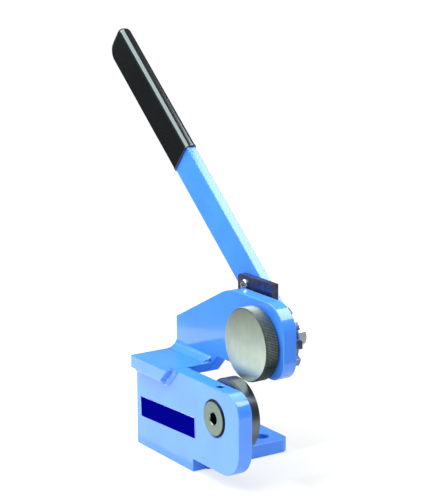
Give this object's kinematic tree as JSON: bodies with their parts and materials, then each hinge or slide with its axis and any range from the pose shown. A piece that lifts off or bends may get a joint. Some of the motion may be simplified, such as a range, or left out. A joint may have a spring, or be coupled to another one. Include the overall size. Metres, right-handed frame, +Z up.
{
  "type": "rotary sheet metal shear",
  "caption": "Bench-mounted throatless rotary sheet metal shear: lever and pawl turn a serrated disc cutter over an idling disc on an eccentric shaft.",
  "frame": {"origin": "centre of the four base bolt holes, on the face that rests on the bench", "axes": "+Z up; +X along the front plate towards its free end, where the sheet is fed in; +Y from the front plate towards the lever"},
  "size_m": [0.3794, 0.1295, 0.4287],
  "materials": {
    "blue_enamel": "gloss sky blue enamel over steel plate",
    "navy_plate": "plain navy printed vinyl",
    "cutter_steel": "fine ground tool steel",
    "ground_steel": "turned and ground steel",
    "bronze": "sintered bronze",
    "black_oxide_steel": "black oxide",
    "zinc_plated_steel": "bright zinc plate",
    "black_vinyl": "gloss dipped vinyl"
  },
  "bodies": {
    "frame": {"base_plate": "blue_enamel", "front_plate": "blue_enamel", "shelf_plate": "blue_enamel", "upper_arm": "blue_enamel", "base_weld": "blue_enamel", "lip_weld": "blue_enamel", "arm_weld": "blue_enamel", "name_plate": "navy_plate", "front_arm_bush": "bronze", "rear_arm_bush": "bronze", "set_screw": "black_oxide_steel"},
    "eccentric": {"eccentric_shaft": "ground_steel", "retaining_washer": "zinc_plated_steel", "retaining_screw": "zinc_plated_steel"},
    "lower_cutter": {"lower_cutter": "cutter_steel", "lower_bush": "bronze"},
    "drive": {"upper_cutter": "cutter_steel", "drive_shaft": "ground_steel", "cutter_key": "zinc_plated_steel", "ratchet_key": "zinc_plated_steel", "ratchet_wheel": "black_oxide_steel", "ratchet_spacer": "zinc_plated_steel", "shaft_washer": "zinc_plated_steel", "shaft_nut": "zinc_plated_steel"},
    "lever": {"lever_bar": "blue_enamel", "lever_bush": "bronze", "lever_grip": "black_vinyl", "pawl_screw": "zinc_plated_steel"},
    "pawl": {"pawl": "black_oxide_steel"}
  },
  "joints": [
    {"name": "lever_swing", "type": "hinge", "parent": "frame", "child": "lever", "pos_m": [0.1041, 0.013, 0.1426], "axis": [0, 1, 0], "range_deg": [-50, 150]},
    {"name": "upper_cutter_spin", "type": "hinge", "parent": "frame", "child": "drive", "pos_m": [0.1041, -0.012, 0.1426], "axis": [0, 1, 0], "range_deg": [-50, 150]},
    {"name": "pawl_lift", "type": "hinge", "parent": "lever", "child": "pawl", "pos_m": [0.04913, 0.004, 0.18832], "axis": [0, -1, 0], "range_deg": [0, 30]},
    {"name": "eccentric_set", "type": "hinge", "parent": "frame", "child": "eccentric", "pos_m": [0.0947, -0.06, 0.0688], "axis": [0, 1, 0], "continuous": true},
    {"name": "lower_cutter_spin", "type": "hinge", "parent": "eccentric", "child": "lower_cutter", "pos_m": [0.0932, -0.044, 0.0688], "axis": [0, 1, 0], "continuous": true}
  ],
  "couplings": [
    {"joint": "upper_cutter_spin", "follows": "lever_swing", "ratio": 1}
  ]
}
